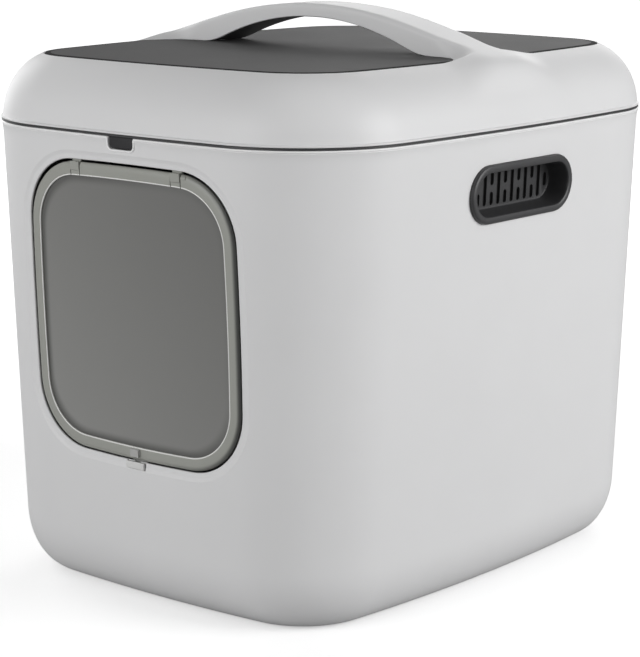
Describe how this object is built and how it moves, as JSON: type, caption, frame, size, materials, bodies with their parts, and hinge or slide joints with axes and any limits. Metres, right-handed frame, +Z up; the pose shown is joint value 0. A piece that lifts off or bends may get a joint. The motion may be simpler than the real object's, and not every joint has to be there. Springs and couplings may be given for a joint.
{
  "type": "top entry litter box",
  "caption": "Hooded cat litter box with rounded tub, swinging front flap, slotted side grips and a hinged lid with carry handle and top mat.",
  "frame": {"origin": "centre of the flat base, on the floor", "axes": "+Z up, the flap door faces -Y, +Y to the lid's hinges, +X to the right seen from the front"},
  "size_m": [0.4034, 0.4974, 0.4617],
  "materials": {
    "white_shell": "satin white moulding",
    "dark_plastic": "satin dark grey",
    "grey_mat": "fine grained grey",
    "smoked_flap": "smoked satin",
    "black_foam": "speckled carbon foam",
    "steel": "plain"
  },
  "bodies": {
    "tub_body": {"tub": "white_shell", "vent_grip_left": "dark_plastic", "vent_grip_right": "dark_plastic", "vent_filter_left": "black_foam", "vent_filter_right": "black_foam", "filter_cover_left": "dark_plastic", "filter_cover_right": "dark_plastic", "flap_clip_left": "white_shell", "flap_clip_right": "white_shell", "hinge_base_left": "dark_plastic", "hinge_base_right": "dark_plastic", "hinge_pin_left": "steel", "hinge_pin_right": "steel"},
    "lid": {"lid_shell": "white_shell", "lid_frame": "dark_plastic", "rim_seal": "black_foam", "top_mat": "grey_mat", "handle_insert": "dark_plastic"},
    "latch": {"front_latch": "dark_plastic"},
    "flap": {"flap_frame": "smoked_flap", "flap_keeper": "smoked_flap", "flap_panel": "smoked_flap", "flap_pin_left": "steel", "flap_pin_right": "steel"},
    "lock": {"lock_slider": "smoked_flap", "lock_back": "smoked_flap"}
  },
  "joints": [
    {"name": "lid_hinge", "type": "hinge", "parent": "tub_body", "child": "lid", "pos_m": [0, 0.2495, 0.3738], "axis": [-1, 0, 0], "range_deg": [0, 100]},
    {"name": "latch_press", "type": "slide", "parent": "lid", "child": "latch", "axis": [0, 1, 0], "range_m": [0, 0.003], "stiffness_N_per_m": 300},
    {"name": "flap_swing", "type": "hinge", "parent": "tub_body", "child": "flap", "pos_m": [0, -0.23807, 0.34608], "axis": [1, 0, 0], "range_deg": [-75, 75]},
    {"name": "lock_slide", "type": "slide", "parent": "tub_body", "child": "lock", "axis": [0, -0.041, 0.9992], "range_m": [0, 0.0035]}
  ]
}
